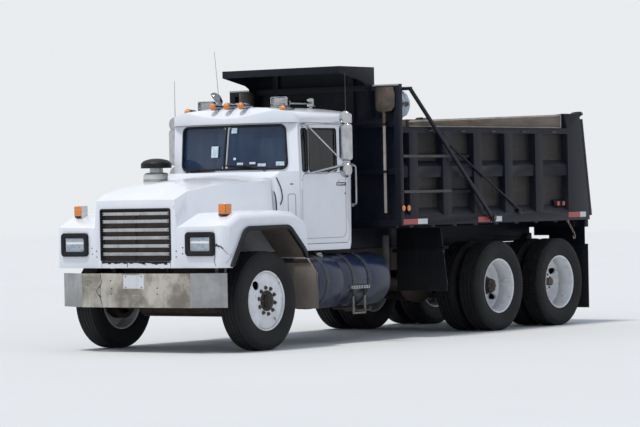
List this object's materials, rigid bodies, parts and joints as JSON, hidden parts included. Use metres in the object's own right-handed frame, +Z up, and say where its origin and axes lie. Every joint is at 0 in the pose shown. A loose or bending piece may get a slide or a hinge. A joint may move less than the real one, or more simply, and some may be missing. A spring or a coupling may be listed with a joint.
{
  "type": "tandem-axle conventional dump truck",
  "caption": "Bonneted dump truck with steered front axle, twin drive axles, tilting steel body on a telescopic hoist, opening doors, hood and tailgate.",
  "frame": {"origin": "on the ground under the middle of the whole outline", "axes": "+X forward, +Y to the truck's left, +Z up"},
  "size_m": [7.5, 2.596, 3.3304],
  "materials": {
    "white_paint": "gloss paint, weathered",
    "chassis_black": "dusty black paint",
    "engine_iron": "oily",
    "bright_steel": "polished",
    "tank_blue": "dusty dark blue paint",
    "dark_steel": "heat-darkened",
    "cleaner_white": "dusty paint",
    "trim_black": "matte",
    "flap_rubber": "dusty",
    "clear_glass": "clear",
    "lamp_glass": "clear",
    "amber_lens": "translucent",
    "cab_vinyl": "worn vinyl",
    "tyre_rubber": "dusty",
    "rim_white": "worn white paint",
    "body_black": "worn black paint",
    "board_wood": "weathered",
    "sheet_fabric": "coated cloth",
    "hoist_steel": "polished",
    "hoist_black": "satin"
  },
  "bodies": {
    "chassis": {"frame": "chassis_black", "crossmembers": "chassis_black", "frame_brackets": "chassis_black", "front_axle": "chassis_black", "driveline": "chassis_black", "rear_suspension": "chassis_black", "engine": "engine_iron", "bumper": "bright_steel", "fuel_tank": "tank_blue", "tank_straps_and_boxes": "chassis_black", "cab_floor": "white_paint", "cab_front": "white_paint", "cab_shell": "white_paint", "cab_roof": "white_paint", "cab_glass": "clear_glass", "cab_interior": "cab_vinyl", "roof_lamps": "amber_lens", "roof_fittings": "bright_steel", "air_cleaner": "cleaner_white", "exhaust_stack": "dark_steel", "mud_flaps": "flap_rubber"},
    "knuckle_left": {"knuckle_left": "chassis_black"},
    "knuckle_right": {"knuckle_right": "chassis_black"},
    "tie_rod": {"tie_rod": "chassis_black"},
    "wheel_front_left": {"tyre_front_left": "tyre_rubber", "rim_front_left": "rim_white"},
    "wheel_front_right": {"tyre_front_right": "tyre_rubber", "rim_front_right": "rim_white"},
    "wheels_first_left": {"tyres_first_left": "tyre_rubber", "rims_first_left": "rim_white"},
    "wheels_first_right": {"tyres_first_right": "tyre_rubber", "rims_first_right": "rim_white"},
    "wheels_second_left": {"tyres_second_left": "tyre_rubber", "rims_second_left": "rim_white"},
    "wheels_second_right": {"tyres_second_right": "tyre_rubber", "rims_second_right": "rim_white"},
    "hood": {"hood": "white_paint", "grille": "bright_steel", "hood_trim": "trim_black", "arch_flares": "trim_black", "hood_lamps": "lamp_glass"},
    "door_left": {"door_left": "white_paint", "door_glass_left": "clear_glass", "mirrors_left": "bright_steel"},
    "door_right": {"door_right": "white_paint", "door_glass_right": "clear_glass", "mirrors_right": "bright_steel"},
    "bed": {"bed_floor": "body_black", "bed_sides": "body_black", "bulkhead": "body_black", "sideboards": "board_wood", "sheet_roll": "sheet_fabric", "body_lamps": "amber_lens", "shovel": "dark_steel"},
    "tailgate": {"tailgate": "body_black"},
    "sheet_bow": {"sheet_bow": "body_black"},
    "hoist_barrel": {"hoist_barrel": "hoist_black"},
    "hoist_stage_1": {"hoist_stage_1": "hoist_steel"},
    "hoist_stage_2": {"hoist_stage_2": "hoist_steel"},
    "hoist_rod": {"hoist_rod": "hoist_steel"}
  },
  "joints": [
    {"name": "steer_left", "type": "hinge", "parent": "chassis", "child": "knuckle_left", "pos_m": [2.88, 0.79, 0.535], "axis": [0, 0, 1], "range_deg": [-35, 35]},
    {"name": "steer_right", "type": "hinge", "parent": "chassis", "child": "knuckle_right", "pos_m": [2.88, -0.79, 0.535], "axis": [0, 0, 1], "range_deg": [-35, 35]},
    {"name": "tie_rod_ball", "type": "hinge", "parent": "knuckle_left", "child": "tie_rod", "pos_m": [2.71, 0.725, 0.4], "axis": [0, 0, 1], "range_deg": [-35, 35]},
    {"name": "wheel_front_left_spin", "type": "hinge", "parent": "knuckle_left", "child": "wheel_front_left", "pos_m": [2.88, 1.01, 0.535], "axis": [0, 1, 0], "continuous": true},
    {"name": "wheel_front_right_spin", "type": "hinge", "parent": "knuckle_right", "child": "wheel_front_right", "pos_m": [2.88, -1.01, 0.535], "axis": [0, 1, 0], "continuous": true},
    {"name": "wheels_first_left_spin", "type": "hinge", "parent": "chassis", "child": "wheels_first_left", "pos_m": [-1.615, 0.917, 0.535], "axis": [0, 1, 0], "continuous": true},
    {"name": "wheels_first_right_spin", "type": "hinge", "parent": "chassis", "child": "wheels_first_right", "pos_m": [-1.615, -0.917, 0.535], "axis": [0, 1, 0], "continuous": true},
    {"name": "wheels_second_left_spin", "type": "hinge", "parent": "chassis", "child": "wheels_second_left", "pos_m": [-2.985, 0.917, 0.535], "axis": [0, 1, 0], "continuous": true},
    {"name": "wheels_second_right_spin", "type": "hinge", "parent": "chassis", "child": "wheels_second_right", "pos_m": [-2.985, -0.917, 0.535], "axis": [0, 1, 0], "continuous": true},
    {"name": "hood_tilt", "type": "hinge", "parent": "chassis", "child": "hood", "pos_m": [3.672, 0, 0.925], "axis": [0, 1, 0], "range_deg": [0, 60]},
    {"name": "door_left_hinge", "type": "hinge", "parent": "chassis", "child": "door_left", "pos_m": [1.9, 0.89, 1.8], "axis": [0, 0, -1], "range_deg": [0, 65]},
    {"name": "door_right_hinge", "type": "hinge", "parent": "chassis", "child": "door_right", "pos_m": [1.9, -0.89, 1.8], "axis": [0, 0, 1], "range_deg": [0, 65]},
    {"name": "bed_tilt", "type": "hinge", "parent": "chassis", "child": "bed", "pos_m": [-3.46, 0, 1.09], "axis": [0, -1, 0], "range_deg": [0, 50]},
    {"name": "tailgate_hinge", "type": "hinge", "parent": "bed", "child": "tailgate", "pos_m": [-3.526, 0, 2.6], "axis": [0, 1, 0], "range_deg": [0, 70]},
    {"name": "sheet_bow_hinge", "type": "hinge", "parent": "bed", "child": "sheet_bow", "pos_m": [-1.41, 0, 1.35], "axis": [0, -1, 0], "range_deg": [0, 100]},
    {"name": "hoist_lean", "type": "hinge", "parent": "chassis", "child": "hoist_barrel", "pos_m": [0.65, 0, 0.8], "axis": [0, -1, 0], "range_deg": [0, 29.5]},
    {"name": "hoist_stage_1_slide", "type": "slide", "parent": "hoist_barrel", "child": "hoist_stage_1", "axis": [0, 0, 1], "range_m": [0, 1.12]},
    {"name": "hoist_stage_2_slide", "type": "slide", "parent": "hoist_stage_1", "child": "hoist_stage_2", "axis": [0, 0, 1], "range_m": [0, 1.12]},
    {"name": "hoist_rod_slide", "type": "slide", "parent": "hoist_stage_2", "child": "hoist_rod", "axis": [0, 0, 1], "range_m": [0, 1.12]}
  ],
  "couplings": [
    {"joint": "steer_right", "follows": "steer_left", "ratio": 1},
    {"joint": "tie_rod_ball", "follows": "steer_left", "ratio": -1},
    {"joint": "hoist_lean", "follows": "bed_tilt", "ratio": 0.58358},
    {"joint": "hoist_stage_1_slide", "follows": "bed_tilt", "m_per_rad": 1.2817},
    {"joint": "hoist_stage_2_slide", "follows": "bed_tilt", "m_per_rad": 1.2817},
    {"joint": "hoist_rod_slide", "follows": "bed_tilt", "m_per_rad": 1.2817}
  ]
}
